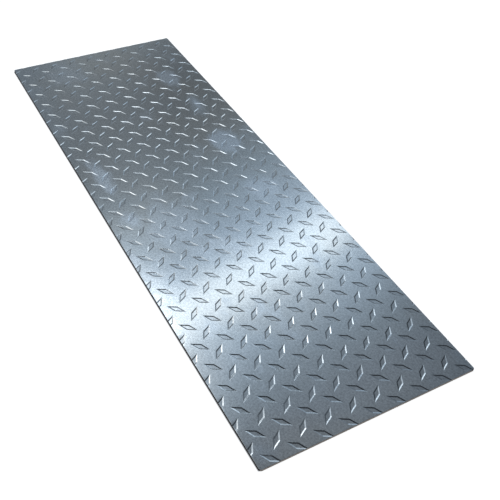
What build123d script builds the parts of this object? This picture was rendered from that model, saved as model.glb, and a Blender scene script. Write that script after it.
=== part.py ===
from build123d import *
import os
from math import ceil, cos, floor, hypot, radians, tan

# Aluminium checker plate: one rolled sheet with shallow lozenges rolled into its upper face.
# Millimetres. The origin is the middle of the underside, +X runs along the sheet, +Z is up.

# The sheet, sheared to size out of a wider one.
sheet_length = 914.4
sheet_width = 304.8
sheet_thickness = 3.175
corner_radius = 3.0

# One lozenge, measured where it meets the sheet's upper face. Its four walls slope down to
# a flat floor, and their slope is from level.
lozenge_length = 28.4
lozenge_width = 8.8
lozenge_depth = 0.35
wall_slope = 10.0

# The tread: lozenges in two crossed directions, each pointing at the middle of the next one
# across. Both sets have the same pitches, and the second starts half a pitch on.
pitch_along = 34.9
pitch_across = 34.5
lozenge_angle = 43.5

# Middle of the first lozenge from the end at -X and from the side at -Y. The shears cut the
# pattern where they fall, so the first row has its middle just outside that end.
first_from_end = -0.8
first_from_side = 18.1

# How far the cutting shape of a lozenge stands clear over the sheet.
punch_clearance = 0.1


def lozenge_at(height):
    """Corners of the lozenge between the four walls, at a height over the sheet's upper face."""
    half_length, half_width = lozenge_length / 2, lozenge_width / 2
    middle_to_side = half_length * half_width / hypot(half_length, half_width)
    scale = 1 + height / tan(radians(wall_slope)) / middle_to_side
    a, b = half_length * scale, half_width * scale
    return [(a, 0, height), (0, b, height), (-a, 0, height), (0, -b, height)]


def make_punch():
    """The room of one lozenge, with the sheet's upper face at Z = 0 and its length along X."""
    low, high = lozenge_at(-lozenge_depth), lozenge_at(punch_clearance)
    walls = [[low[i - 1], low[i], high[i], high[i - 1]] for i in range(len(low))]
    return Solid(Shell([Face(Wire.make_polygon(corners)) for corners in [low, high, *walls]]))


def row_middles(first, pitch, limit, reach):
    """Lozenge middles, one pitch apart through first, whose floors reach in between 0 and limit."""
    lowest = ceil((-reach - first) / pitch)
    highest = floor((limit + reach - first) / pitch)
    return [first + pitch * step for step in range(lowest, highest + 1)]


def tread_places():
    """Where every lozenge lies in the sheet, with the turn about Z that it has there."""
    floor_tip = lozenge_at(-lozenge_depth)[0]
    reach = floor_tip[0] * cos(radians(lozenge_angle))
    places = []
    for half_pitches, angle in ((0.0, lozenge_angle), (0.5, -lozenge_angle)):
        from_end = first_from_end + half_pitches * pitch_along
        from_side = first_from_side + half_pitches * pitch_across
        for x in row_middles(from_end, pitch_along, sheet_length, reach):
            for y in row_middles(from_side, pitch_across, sheet_width, reach):
                middle = (x - sheet_length / 2, y - sheet_width / 2, sheet_thickness)
                places.append(Location(middle, (0, 0, angle)))
    return places


def make_plate():
    """The sheet with every lozenge cut down into it, as one solid."""
    sheet = extrude(RectangleRounded(sheet_length, sheet_width, corner_radius), amount=sheet_thickness)
    punch = make_punch()
    return sheet - [punch.moved(place) for place in tread_places()]


os.makedirs("parts", exist_ok=True)
export_step(make_plate(), "parts/tread_plate.step")
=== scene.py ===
import math

import bmesh
import bpy
import numpy as np
from mathutils import Matrix, Vector


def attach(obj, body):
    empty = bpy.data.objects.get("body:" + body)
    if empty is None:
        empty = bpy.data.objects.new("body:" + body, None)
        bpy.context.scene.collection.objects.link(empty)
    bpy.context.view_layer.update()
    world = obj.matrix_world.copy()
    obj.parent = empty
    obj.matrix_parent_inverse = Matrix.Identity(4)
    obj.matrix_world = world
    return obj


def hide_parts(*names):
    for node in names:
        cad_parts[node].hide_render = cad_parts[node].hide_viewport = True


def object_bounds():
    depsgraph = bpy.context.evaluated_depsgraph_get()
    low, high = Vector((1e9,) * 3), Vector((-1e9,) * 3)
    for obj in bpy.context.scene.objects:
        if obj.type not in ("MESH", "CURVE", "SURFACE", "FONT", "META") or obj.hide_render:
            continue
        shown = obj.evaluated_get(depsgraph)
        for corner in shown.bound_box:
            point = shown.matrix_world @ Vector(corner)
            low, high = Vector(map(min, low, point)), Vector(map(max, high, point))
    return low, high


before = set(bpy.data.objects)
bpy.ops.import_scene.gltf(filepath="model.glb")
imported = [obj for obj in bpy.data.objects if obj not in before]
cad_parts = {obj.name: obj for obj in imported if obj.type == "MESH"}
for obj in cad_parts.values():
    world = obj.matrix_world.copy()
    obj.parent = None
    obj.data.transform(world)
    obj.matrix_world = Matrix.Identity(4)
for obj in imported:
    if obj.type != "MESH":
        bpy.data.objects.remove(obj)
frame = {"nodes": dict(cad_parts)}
# the box that the finished piece has to stay in
cadLow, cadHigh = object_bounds()  # the box round the parts of model.glb, which gives the sheet's length, width and thickness
print("frame loaded:", ", ".join(frame["nodes"]))


# Shader maths

class Wire:
    # A socket in a node tree. Arithmetic on it adds Math nodes, and node() adds any other node.
    def __init__(self, tree, socket=None):
        self.tree = tree
        self.socket = socket

    def node(self, kind, settings=None, inputs=None, output=0):
        # settings first, because some of them change which sockets the node has
        node = self.tree.nodes.new(kind)
        for name, value in (settings or {}).items():
            if name == "stops":
                setStops(node.color_ramp, value)
            else:
                setattr(node, name, value)
        for name, value in (inputs or {}).items():
            if isinstance(value, Wire):
                self.tree.links.new(value.socket, node.inputs[name])
            else:
                node.inputs[name].default_value = value
        return Wire(self.tree, node.outputs[output] if node.outputs else None)

    def math(self, operation, first, second=0.0):
        return self.node("ShaderNodeMath", {"operation": operation}, {0: first, 1: second})

    def __add__(self, other):
        return self.math("ADD", self, other)

    __radd__ = __add__

    def __sub__(self, other):
        return self.math("SUBTRACT", self, other)

    def __rsub__(self, other):
        return self.math("SUBTRACT", other, self)

    def __mul__(self, other):
        return self.math("MULTIPLY", self, other)

    __rmul__ = __mul__

    def __abs__(self):
        return self.math("ABSOLUTE", self)

    def between(self, low, high):
        # 0 at low, 1 at high, with a smooth step from one to the other
        limits = {"Value": self, "From Min": low, "From Max": high}
        return self.node("ShaderNodeMapRange", {"interpolation_type": "SMOOTHSTEP"}, limits)

    def mix(self, first, second):
        # colours: all first where this wire is 0, all second where it is 1
        return self.node("ShaderNodeMix", {"data_type": "RGBA"}, {0: self, 6: first, 7: second}, 2)

    def shade(self, factor):
        # this colour times a factor
        return self.node("ShaderNodeVectorMath", {"operation": "SCALE"}, {0: self, "Scale": factor})

    def vectorMath(self, operation, other=(0, 0, 0), output="Vector"):
        return self.node("ShaderNodeVectorMath", {"operation": operation}, {0: self, 1: other}, output)

    def stretch(self, scales):
        # this vector, each axis times its own scale
        return self.vectorMath("MULTIPLY", scales)

    def along(self, direction):
        # how far this vector points along a direction
        return self.vectorMath("DOT_PRODUCT", direction, "Value")

    def awayFrom(self, middle, scales):
        # how far this place is from a middle, each axis times its own scale
        return self.vectorMath("SUBTRACT", middle).stretch(scales).vectorMath("LENGTH", output="Value")

    def noise(self, scale, detail, roughness):
        # cloudy noise over this place, 0 to 1 and mostly near 0.5
        return self.node("ShaderNodeTexNoise", None, {
            "Vector": self, "Scale": scale, "Detail": detail, "Roughness": roughness})

    def bump(self, distance, under=None):
        # a normal tilted by this height, where 1 is a distance, on top of another bump
        inputs = {"Height": self, "Distance": distance, "Strength": 1.0}
        if under:
            inputs["Normal"] = under
        return self.node("ShaderNodeBump", None, inputs)

    def parts(self):
        split = self.node("ShaderNodeSeparateXYZ", None, {0: self})
        outputs = split.socket.node.outputs
        return [Wire(self.tree, outputs[axis]) for axis in "XYZ"]


def setStops(colorRamp, stops):
    while len(colorRamp.elements) < len(stops):
        colorRamp.elements.new(1.0)
    for element, (place, colour) in zip(colorRamp.elements, stops):
        element.position = place
        element.color = (*colour, 1.0)


def newTree(owner):
    owner.use_nodes = True
    owner.node_tree.nodes.clear()
    return Wire(owner.node_tree)


# The tread plate

plate = {
    "cornerRadius": 0.003,
    "lozengeLength": 0.0284,
    "lozengeWidth": 0.0088,
    "lozengeBulge": 1.03,            # 1 is a lozenge with straight sides, 2 an ellipse
    "lozengeDepth": 0.00028,
    "wallWidth": 0.00185,            # from a lozenge's outline in to its flat floor
    "wallRounding": 0.15,            # share of the wall that is rounded at its top, and again at its foot
    "lozengeAngle": 43.5,            # degrees between a lozenge and the long sides
    "pitchAlong": 0.0349,
    "pitchAcross": 0.0345,
    "firstFromEnd": -0.0008,         # the first lozenge's middle from the end at -X
    "firstFromSide": 0.0181,         # and from the side at -Y
    "drawnEdge": 0.0004,             # radius that the shears drew the top edge down to
    "footEdge": 0.0001,              # and the bottom edge
    "drawnSteps": (30, 60, 90),      # degrees round each of those edges where the mesh has a ring
    "footSteps": (0, 45, 90),
    "cornerChords": 6,               # straight cuts that round each corner
    "sidePoints": (0, 0.06, 0.94),   # where a lozenge's side has its three points, as shares of its length
    "boxReach": (0.68, 0.32),        # reach of the flat box round a lozenge, 1 being the way to the next one
}
plate["length"] = cadHigh.x - cadLow.x
plate["width"] = cadHigh.y - cadLow.y
plate["thickness"] = cadHigh.z - cadLow.z
lozengeHalf = np.array([plate["lozengeLength"], plate["lozengeWidth"]]) / 2
wallShare = plate["wallWidth"] * math.hypot(*lozengeHalf) / lozengeHalf.prod()


def lozengeReach(along, across):
    # how far out of a lozenge's middle a place is: 0 there, 1 on its outline, from
    # |along / half length|^bulge + |across / half width|^bulge = 1
    bulge = plate["lozengeBulge"]
    return (abs(along / lozengeHalf[0]) ** bulge + abs(across / lozengeHalf[1]) ** bulge) ** (1 / bulge)


def lozengeDrop(along, across):
    # Depth under the sheet's face. With t the share of the wall that is passed and r the share
    # rounded at each end, the slope grows evenly up to t = r, stays, and fades from t = 1 - r:
    # depth = (early^2 / 2r + middle + (r^2 - late^2) / 2r) / (1 - r)
    passed = np.clip((1 - lozengeReach(along, across)) / wallShare, 0, 1)
    r = plate["wallRounding"]
    early, late = np.minimum(passed, r), np.minimum(1 - passed, r)
    middle = np.clip(passed, r, 1 - r) - r
    return plate["lozengeDepth"] * (early**2 / (2 * r) + middle + (r**2 - late**2) / (2 * r)) / (1 - r)


def treadHeight(x, y):
    # Height of the sheet's upper face: each set's nearest lozenge, found by rounding to its
    # pitches. One set is turned left by the angle, the other right, and starts half a pitch on.
    pitches = plate["pitchAlong"], plate["pitchAcross"]
    fromEnd = x + plate["length"] / 2 - plate["firstFromEnd"]
    fromSide = y + plate["width"] / 2 - plate["firstFromSide"]
    angle = math.radians(plate["lozengeAngle"])
    height = np.full(np.shape(x), plate["thickness"])
    for start, side in ((0.0, 1), (0.5, -1)):
        dx, dy = [pitch * ((place / pitch - start + 0.5) % 1 - 0.5)
                  for place, pitch in zip((fromEnd, fromSide), pitches)]
        along, across = math.cos(angle), side * math.sin(angle)
        height -= lozengeDrop(dx * along + dy * across, dy * along - dx * across)
    return height


def treadNormals(x, y):
    # upward normals from the slopes of treadHeight between two places a hair apart
    hair = 2e-5
    slopes = [(treadHeight(x + dx, y + dy) - treadHeight(x - dx, y - dy)) / (2 * hair)
              for dx, dy in ((hair, 0), (0, hair))]
    normals = np.stack([-slopes[0], -slopes[1], np.ones_like(x)], -1)
    return normals / np.linalg.norm(normals, axis=-1, keepdims=True)


def lozengePlan(longAxis, shortAxis, degrees):
    # Plan of one lozenge and the flat sheet round it. The wall's profile has four levels, each
    # carried round the outline through the points of its four sides. Round them lies a box whose
    # long and short reach add up to the way to the next lozenge, so that the boxes of both sets
    # fit together and leave only small squares.
    shares = np.array(plate["sidePoints"])
    side = np.stack([1 - shares, shares], -1)
    side *= 1 / lozengeReach(*(side * lozengeHalf).T)[:, None]
    outline = np.concatenate([side, side[:, ::-1] * (-1, 1), -side, side[:, ::-1] * (1, -1)])
    levels = 1 - wallShare * np.array([0, plate["wallRounding"], 1 - plate["wallRounding"], 1])
    angle = math.radians(degrees)
    turn = np.array([[math.cos(angle), math.sin(angle)], [-math.sin(angle), math.cos(angle)]])
    rings = (levels[:, None, None] * outline * lozengeHalf @ turn).reshape(-1, 2)
    long, short = plate["boxReach"]
    box = np.array([(long, -short), (long, short), (short, short), (-short, short),
                    (-long, short), (-long, -short), (-short, -short), (short, -short)])
    points = np.concatenate([rings, box @ np.stack([longAxis, shortAxis])])

    count = len(outline)
    here = np.arange(count)
    ahead = (here + 1) % count
    bands = np.arange(len(levels) - 1)[:, None] * count
    quads = np.stack([bands + here, bands + ahead, bands + ahead + count, bands + here + count], -1)
    floor = here + count * (len(levels) - 1)
    first = count * len(levels)
    opposite = np.array([1, 2, 2, 3, 3, 4, 5, 6, 6, 7, 7, 0])  # the box corner facing each ring edge
    facing = np.array([0, 1, 3, 5, 6, 7, 9, 11])               # the ring point facing each box edge
    corners = np.arange(len(box))
    collar = np.concatenate([np.stack([ahead, here, first + opposite], -1),
                             np.stack([first + corners, first + (corners + 1) % len(box), facing], -1)])
    return points, [*quads.reshape(-1, 4).tolist(), floor.tolist(), *collar.tolist()]


def rolledPlan():
    # the rolled pattern, larger than the sheet: a lozenge of each set and the two squares beside
    # them, repeated over the lattice by broadcasting
    step = np.array([plate["pitchAlong"], plate["pitchAcross"]])
    right, left = step / 2, step / 2 * (-1, 1)
    points, faces = lozengePlan(right, left, plate["lozengeAngle"])
    otherPoints, otherFaces = lozengePlan(-left, right, -plate["lozengeAngle"])
    long, short = plate["boxReach"]
    square = np.array([(short, short), (long, short), (long, long), (short, long)])
    squares = np.concatenate([square, square - (0, 1)]) @ np.stack([right, left])
    shift = len(points)
    unit = np.concatenate([points, otherPoints + right, squares])
    faces += [[index + shift for index in face] for face in otherFaces]
    faces += (np.arange(len(squares)).reshape(-1, len(square)) + 2 * shift).tolist()

    # rows and columns that reach past the sheet all round
    first = np.array([plate["firstFromEnd"] - plate["length"] / 2,
                      plate["firstFromSide"] - plate["width"] / 2])
    rows = np.arange(-1, math.ceil(plate["length"] / plate["pitchAlong"]) + 1)
    columns = np.arange(-2, math.ceil(plate["width"] / plate["pitchAcross"]) + 1)
    places = np.stack(np.meshgrid(rows, columns, indexing="ij"), -1).reshape(-1, 1, 2) * step
    points = (first + places + unit).reshape(-1, 2)
    sides = np.array([len(face) for face in faces])
    loops = np.concatenate(faces) + np.arange(len(places))[:, None] * len(unit)
    return points, loops.ravel(), np.tile(sides, len(places))


def fillMesh(mesh, points, loops, sides):
    mesh.vertices.add(len(points))
    mesh.vertices.foreach_set("co", points.astype(np.float32).ravel())
    mesh.loops.add(len(loops))
    mesh.loops.foreach_set("vertex_index", loops.astype(np.int32))
    mesh.polygons.add(len(sides))
    mesh.polygons.foreach_set("loop_start", (np.cumsum(sides) - sides).astype(np.int32))
    mesh.update(calc_edges=True)


def readMesh(mesh):
    points = np.empty(len(mesh.vertices) * 3)
    loops = np.empty(len(mesh.loops), np.int32)
    sides = np.empty(len(mesh.polygons), np.int32)
    mesh.vertices.foreach_get("co", points)
    mesh.loops.foreach_get("vertex_index", loops)
    mesh.polygons.foreach_get("loop_total", sides)
    return points.reshape(-1, 3), loops, sides


def shear(mesh):
    # Cuts the pattern to the outline that the drawn-down edge leaves flat: four straight cuts,
    # and a row of short chords round each corner. Returns the points on the rim.
    weld = 1e-6  # points this near each other are one
    half = np.array([plate["length"], plate["width"]]) / 2 - plate["drawnEdge"]
    radius = plate["cornerRadius"] - plate["drawnEdge"]
    chord = math.pi / 2 / plate["cornerChords"]
    angles = (np.arange(4 * plate["cornerChords"]) + 0.5) * chord
    straight = np.array([(1, 0), (0, 1), (-1, 0), (0, -1)])
    slanted = np.stack([np.cos(angles), np.sin(angles)], -1)
    places = np.concatenate([straight * half,
                             np.sign(slanted) * (half - radius) + slanted * radius * math.cos(chord / 2)])
    bm = bmesh.new()
    bm.from_mesh(mesh)
    bmesh.ops.remove_doubles(bm, verts=bm.verts, dist=weld)
    for place, direction in zip(places, np.concatenate([straight, slanted])):
        everything = bm.verts[:] + bm.edges[:] + bm.faces[:]
        bmesh.ops.bisect_plane(bm, geom=everything, dist=weld / 10, clear_outer=True,
                               plane_co=(*place, 0), plane_no=(*direction, 0))
    bmesh.ops.remove_doubles(bm, verts=bm.verts, dist=2 * weld)
    rim = [vert.index for vert in bm.verts if vert.is_boundary]
    bm.to_mesh(mesh)
    bm.free()
    return np.array(rim)


def edgeRings(top, normals):
    # The edge's profile carried round the rim, one ring of points and of normals a step: a
    # quarter round down from the top, the wall, and a small quarter round in to the underside.
    # Outward is the way from the nearest place of the sheet less its corner radius.
    core = np.array([plate["length"], plate["width"]]) / 2 - plate["cornerRadius"]
    outward = top[:, :2] - np.clip(top[:, :2], -core, core)
    outward = np.column_stack([outward / np.linalg.norm(outward, axis=1, keepdims=True), np.zeros(len(top))])
    up = np.array([0, 0, 1])
    rings, slopes = [], []
    for t in np.radians(plate["drawnSteps"]):
        rings.append(top + plate["drawnEdge"] * (math.sin(t) * outward - (1 - math.cos(t)) * up))
        slopes.append(math.cos(t) * normals + math.sin(t) * outward)
    wall = rings[-1] * (1, 1, 0)
    for t in np.radians(plate["footSteps"]):
        rings.append(wall + plate["footEdge"] * ((1 - math.sin(t)) * up - (1 - math.cos(t)) * outward))
        slopes.append(math.cos(t) * outward - math.sin(t) * up)
    return np.concatenate(rings), np.concatenate(slopes)


def makePlate():
    # the sheared pattern lifted by treadHeight, with its edge carried round it and its underside
    pattern = bpy.data.meshes.new("rolledPattern")
    points, loops, sides = rolledPlan()
    fillMesh(pattern, np.column_stack([points, np.zeros(len(points))]), loops, sides)
    rim = shear(pattern)
    points, loops, sides = readMesh(pattern)
    bpy.data.meshes.remove(pattern)
    x, y = points[:, 0], points[:, 1]
    points[:, 2] = treadHeight(x, y)
    normals = treadNormals(x, y)

    rim = rim[np.argsort(np.arctan2(y[rim], x[rim]))]
    rings, slopes = edgeRings(points[rim], normals[rim])
    count = len(rim)
    ids = np.concatenate([rim, len(points) + np.arange(len(rings))]).reshape(-1, count)
    nextIds = np.roll(ids, -1, axis=1)
    skirt = np.stack([ids[:-1], ids[1:], nextIds[1:], nextIds[:-1]], -1)
    underside = ids[-1][::-1]
    points = np.concatenate([points, rings])
    loops = np.concatenate([loops, skirt.ravel(), underside])
    sides = np.concatenate([sides, np.full(skirt.shape[0] * count, 4), [count]])
    normals = np.concatenate([normals, slopes])
    normals /= np.linalg.norm(normals, axis=1, keepdims=True)

    mesh = bpy.data.meshes.new("treadPlate")
    fillMesh(mesh, points, loops, sides)
    mesh.shade_smooth()
    mesh.normals_split_custom_set_from_vertices(normals)
    piece = bpy.data.objects.new("treadPlate", mesh)
    bpy.context.scene.collection.objects.link(piece)
    return piece


treadPlate = makePlate()
shape = treadPlate.data
print("tread plate made:", len(shape.vertices), "vertices,", len(shape.polygons), "faces")


# The aluminium's finish. A noise is its scale, its detail and how rough that detail is.

finish = {
    "metal": (0.64, 0.67, 0.69, 1),        # the rolled face, wiped clean
    "warm": (0.65, 0.66, 0.66, 1),         # where the face is a little greyer
    "warmNoise": (6, 3, 0.5),
    "warmLimits": (0.45, 0.65),
    "film": (0.70, 0.76, 0.83, 1),         # where handling left a bluish film on it
    "cloudStretch": (1, 1.6, 1),           # the film's clouds
    "cloudNoise": (11, 5, 0.62),
    "cloudLimits": (0.54, 0.70),
    "cloudStrength": 0.5,
    # smudges of film: the middle, how many fit in a metre each way, and how strong
    "smudges": [((-0.10, -0.122, 0), (25, 60, 0), 0.9), ((0.02, -0.118, 0), (40, 60, 0), 0.7),
                ((-0.31, 0.090, 0), (28, 45, 0), 0.8), ((-0.22, 0.102, 0), (20, 60, 0), 0.7),
                ((-0.10, 0.100, 0), (25, 35, 0), 0.9), ((0.03, 0.085, 0), (28, 32, 0), 0.5),
                ((0.05, -0.060, 0), (16, 20, 0), 0.4), ((-0.40, -0.070, 0), (22, 22, 0), 0.5)],
    "smudgeRim": (1.05, 0.45),             # from no film at its rim in to all of it
    "smudgeRagged": 3,                     # how far the clouds tear that rim
    "grainStretch": (4, 900, 40),          # the grain's streaks, which run along the sheet
    "grainNoise": (1, 3, 0.6),
    "grainShade": 0.16,                    # how much it darkens and lightens the face
    "grainRoughness": 0.05,
    "grainDepth": 0.0000014,
    "mottleNoise": (360, 3, 0.65),         # the fine mottle of the rolls
    "mottleShade": 0.95,
    "mottleDepth": 0.000014,
    "waveNoise": (9, 3, 0.54),             # long waves that the rolls left in the sheet
    "waveDepth": 0.00013,
    "brightness": 0.96,
    "roughness": 0.125,
    "filmRoughness": 0.24,
    "specular": 0.15,
    "paintedFloorShade": 0.89,                    # the lozenges' floors against the face: painted shade that darkens the recesses
    "floorRoughness": 0.12,
    "floorFrom": 0.3,                      # share of the depth where a floor's roughness and painted shade start
    "edgeFacing": (0.93, 0.6),             # how far up or down a surface faces, from the face to an edge
    "endFacing": (0.5, 0.8),               # how far along the sheet it faces, from a side to an end
    "shadedSideEdge": (0.012, 0.012, 0.013, 1),  # the long edges: a dull cut edge, also painted near-black for the shade along the sheet's sides
    "endEdge": (0.20, 0.175, 0.155, 1),    # the ends, sheared later
    "cutStretch": (1, 1, 0.15),            # the marks of the shears, which run up and down
    "cutNoise": (900, 3, 0.6),
    "cutShade": (0.6, 0.8),                # the darkest shade, and how much the marks add to it
    "edgeRoughness": 0.6,
    "edgeDullness": 0.8,                   # how much less metallic the edges look
}


def rolledAluminium():
    material = bpy.data.materials.new("rolledAluminium")
    start = newTree(material)
    place = start.node("ShaderNodeTexCoord", None, None, "Object")
    facing = start.node("ShaderNodeTexCoord", None, None, "Normal").parts()
    height = place.parts()[2]
    sunk = height.between(plate["thickness"] - finish["floorFrom"] * plate["lozengeDepth"],
                          plate["thickness"] - plate["lozengeDepth"])
    edge = abs(facing[2]).between(*finish["edgeFacing"])
    end = abs(facing[0]).between(*finish["endFacing"])

    # grain and mottle less their middle, so that they darken as often as they lighten
    grain = place.stretch(finish["grainStretch"]).noise(*finish["grainNoise"]) - 0.5
    mottle = place.noise(*finish["mottleNoise"]) - 0.5
    waves = place.noise(*finish["waveNoise"])
    cloud = place.stretch(finish["cloudStretch"]).noise(*finish["cloudNoise"])
    film = cloud.between(*finish["cloudLimits"]) * finish["cloudStrength"]
    ragged = finish["smudgeRagged"] * (cloud - 0.5)
    for middle, perMetre, strength in finish["smudges"]:
        film = film + strength * (place.awayFrom(middle, perMetre) + ragged).between(*finish["smudgeRim"])
    warm = place.noise(*finish["warmNoise"]).between(*finish["warmLimits"])

    colour = film.mix(warm.mix(finish["metal"], finish["warm"]), finish["film"])
    speckle = finish["grainShade"] * grain + finish["mottleShade"] * mottle
    colour = colour.shade(finish["brightness"] + speckle)
    # painted shade in the recesses: the lozenges' sunk floors are darker than the face
    colour = sunk.mix(colour, colour.shade(finish["paintedFloorShade"]))
    darkest, marked = finish["cutShade"]
    marks = place.stretch(finish["cutStretch"]).noise(*finish["cutNoise"])
    # cut edges: the long sides near-black, partly painted shade, and the ends brownish grey
    cut = end.mix(finish["shadedSideEdge"], finish["endEdge"]).shade(darkest + marked * marks)
    colour = edge.mix(colour, cut)

    rough = finish["roughness"] + finish["grainRoughness"] * grain
    for share, name in ((film, "filmRoughness"), (sunk, "floorRoughness"), (edge, "edgeRoughness")):
        rough = rough + share * (finish[name] - finish["roughness"])

    bump = waves.bump(finish["waveDepth"])
    bump = grain.bump(finish["grainDepth"], bump)
    bump = mottle.bump(finish["mottleDepth"], bump)
    metal = start.node("ShaderNodeBsdfPrincipled", None, {
        "Base Color": colour, "Metallic": 1 - finish["edgeDullness"] * edge, "Roughness": rough,
        "Normal": bump, "Specular IOR Level": finish["specular"]})
    start.node("ShaderNodeOutputMaterial", None, {"Surface": metal})
    return material


shape.materials.append(rolledAluminium())
print("finish made")


# Floor, lights and camera

studio = {
    "floorSize": 40.0,
    "floorColour": (0.86, 0.86, 0.86, 1),
    "floorRoughness": 0.8,
    "floorGlow": (1, 1, 1, 1),
    "floorGlowStrength": 0.82,
    "shadow": (0.01, 0.01, 0.012, 1),      # painted contact shadow along the sheet's left side
    "shadowWidth": 0.0021,
    # strip lights, which face the sheet: the middle, which way the long side runs, the size,
    # the brightness and the colour
    "strips": {
        "strip": ((-7.70, 5.00, 9.38), (0, 0.956, -0.293), (4.1, 0.70), 1.15, (0.93, 0.99, 1.0)),
        "stripLeft": ((-8.20, 1.33, 9.95), (0.160, 0.987, 0), (3.8, 1.35), 0.9, (0.96, 0.99, 1.0)),
        "stripMiddle": ((-7.92, 2.52, 9.96), (0.303, 0.953, 0), (1.5, 1.2), 1.15, (0.96, 0.99, 1.0)),
    },
    "cameraPlace": (0.8078, -0.4013, 0.7331),
    "cameraAim": (0.1469, 0.0070, 0),
    "cameraRoll": 4.044,                   # degrees
    "lens": 54.37,                         # millimetres, as the sensor is
    "sensorWidth": 36,
}


def makeFloor():
    mesh = bpy.data.meshes.new("floor")
    half = studio["floorSize"] / 2
    corners = [(-half, -half, 0), (half, -half, 0), (half, half, 0), (-half, half, 0)]
    mesh.from_pydata(corners, [], [(0, 1, 2, 3)])
    floor = bpy.data.objects.new("floor", mesh)
    bpy.context.scene.collection.objects.link(floor)
    paint = bpy.data.materials.new("floorPaint")
    start = newTree(paint)
    # a painted contact shadow: the floor's colour and glow darken along a thin line beside the sheet's left
    # side, where light from the right would leave shade
    x, y = start.node("ShaderNodeTexCoord", None, None, "Object").parts()[:2]
    side = -plate["width"] / 2
    paintedShadow = y.between(side - studio["shadowWidth"], side) * y.between(0.0, side)
    paintedShadow = paintedShadow * (plate["length"] / 2 - abs(x)).between(0.0, plate["cornerRadius"])
    surface = start.node("ShaderNodeBsdfPrincipled", None, {
        "Base Color": paintedShadow.mix(studio["floorColour"], studio["shadow"]),
        "Emission Color": paintedShadow.mix(studio["floorGlow"], studio["shadow"]),
        "Emission Strength": studio["floorGlowStrength"], "Roughness": studio["floorRoughness"]})
    start.node("ShaderNodeOutputMaterial", None, {"Surface": surface})
    mesh.materials.append(paint)


def addSoftbox(name, middle, along, size, brightness, colour):
    # A rectangular light of one brightness, which faces the origin. Its power is
    # brightness * pi * area.
    light = bpy.data.lights.new(name, "AREA")
    light.shape = "RECTANGLE"
    light.size, light.size_y = size
    light.energy = brightness * math.pi * size[0] * size[1]
    light.color = colour
    lamp = bpy.data.objects.new(name, light)
    bpy.context.scene.collection.objects.link(lamp)
    back = Vector(middle).normalized()
    up = back.cross(Vector(along)).normalized()
    axes = Matrix((up.cross(back), up, back)).transposed()
    lamp.matrix_world = Matrix.Translation(middle) @ axes.to_4x4()
    lamp.visible_camera = False


# The room that the metal mirrors. A measure is how far a direction points one way, and a
# number that is added to it.

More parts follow.
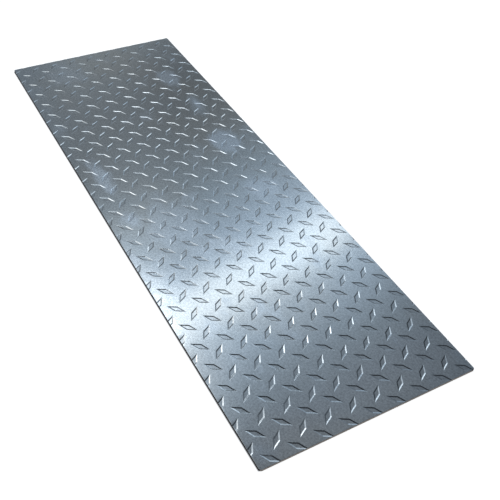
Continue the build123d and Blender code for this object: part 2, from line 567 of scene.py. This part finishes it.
room = {
    "backdrop": (1, 1, 1, 1),              # what the camera sees past the floor
    "measures": {
        "rise": ((0.96, 0.21, 0.68), 0.6),               # 0.6 on the strip light's line, less under it
        "height": ((0, 0, 1), 0.0),
        "leftBright": ((-0.375, -0.927, 0), 0.0),
        "leftEnd": ((-0.259, -0.966, 0), 0.0),
        "left": ((-0.485, -0.875, 0), 0.0),
        "rightHalf": ((0.75471, 0.65606, -0.5), 0.34),   # starts farther to the right higher up
        "rightSide": ((0.89101, 0.45399, -0.5), 0.34),
        "front": ((1, 0, -0.4), 0.0),
    },
    # the strip's bluish glow on the wall under and over it, by rise
    "glow": [
        (0.0, (0.20, 0.22, 0.24)), (0.19, (0.205, 0.23, 0.242)), (0.23, (0.152, 0.169, 0.186)),
        (0.29, (0.145, 0.16, 0.172)), (0.344, (0.175, 0.197, 0.215)), (0.405, (0.235, 0.273, 0.303)),
        (0.45, (0.30, 0.37, 0.43)), (0.48, (0.37, 0.46, 0.55)), (0.507, (0.42, 0.53, 0.66)),
        (0.54, (0.49, 0.63, 0.79)), (0.60, (0.51, 0.65, 0.80)), (0.637, (0.54, 0.66, 0.78)),
        (0.675, (0.47, 0.58, 0.70)), (0.705, (0.36, 0.44, 0.52)), (0.735, (0.29, 0.35, 0.41)),
        (0.772, (0.25, 0.295, 0.34)), (0.81, (0.225, 0.26, 0.305)), (0.86, (0.25, 0.285, 0.32)),
        (0.90, (0.18, 0.20, 0.225)), (0.975, (0.05, 0.06, 0.07))],
    "leftGlow": 0.35,                      # how much stronger the glow is on the left
    "leftGlowLimits": (-0.05, 0.04),
    # panes painted over the glow in this order: the colour, and the measures it fades in by, each
    # from where there is none of it to where there is all of it
    "panes": [
        ((0.20, 0.235, 0.27, 1), [("leftEnd", -0.02, 0.05), ("rise", 0.55, 0.50)]),
        ((0.33, 0.38, 0.43, 1), [("height", 0.24, 0.32), ("height", 0.47, 0.41)]),
        ((0.58, 0.68, 0.77, 1), [("left", 0.06, 0.14), ("rise", 0.385, 0.47)]),
        ((1.25, 1.30, 1.33, 1), [("left", 0.21, 0.26), ("rise", 0.35, 0.46)]),
        ((0.68, 0.77, 0.86, 1), [("left", -0.03, 0.04), ("rise", 0.60, 0.66)]),
        ((0.15, 0.18, 0.215, 1), [("rightHalf", -0.08, 0.10)]),
        ((0.05, 0.06, 0.07, 1), [("rightSide", -0.05, 0.06)]),
        ((0.03, 0.036, 0.043, 1), [("height", 0.858, 0.884)]),    # dark overhead,
        ((0.34, 0.37, 0.40, 1), [("height", 0.972, 0.990)]),      # with a pale patch right above
        ((0.50, 0.53, 0.56, 1), [("front", 0.1, 0.5)]),           # pale behind the camera
    ],
}


def makeRoom():
    world = bpy.data.worlds.new("studio")
    bpy.context.scene.world = world
    start = newTree(world)
    way = start.node("ShaderNodeTexCoord", None, None, "Generated")
    measures = {name: way.along(direction) + added
                for name, (direction, added) in room["measures"].items()}
    colour = start.node("ShaderNodeValToRGB", {"stops": room["glow"]}, {0: measures["rise"]})
    onLeft = measures["leftBright"].between(*room["leftGlowLimits"])
    colour = colour.shade(1 + room["leftGlow"] * onLeft)
    for paneColour, limits in room["panes"]:
        share = math.prod(measures[name].between(none, full) for name, none, full in limits)
        colour = share.mix(colour, paneColour)
    seen = start.node("ShaderNodeLightPath", None, None, "Is Camera Ray")
    background = start.node("ShaderNodeBackground", None, {
        "Color": seen.mix(colour, room["backdrop"]), "Strength": 1.0})
    start.node("ShaderNodeOutputWorld", None, {"Surface": background})


def makeCamera():
    data = bpy.data.cameras.new("camera")
    data.lens = studio["lens"]
    data.sensor_width = studio["sensorWidth"]
    camera = bpy.data.objects.new("camera", data)
    bpy.context.scene.collection.objects.link(camera)
    place, aim = Vector(studio["cameraPlace"]), Vector(studio["cameraAim"])
    turn = (aim - place).to_track_quat("-Z", "Y").to_matrix().to_4x4()
    roll = Matrix.Rotation(math.radians(studio["cameraRoll"]), 4, "Z")
    camera.matrix_world = Matrix.Translation(place) @ turn @ roll
    bpy.context.scene.camera = camera


makeFloor()
for name, strip in studio["strips"].items():
    addSoftbox(name, *strip)
makeRoom()
makeCamera()
bpy.context.scene.view_settings.view_transform = "Standard"
print("studio set up")

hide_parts("tread_plate")
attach(treadPlate, "root")
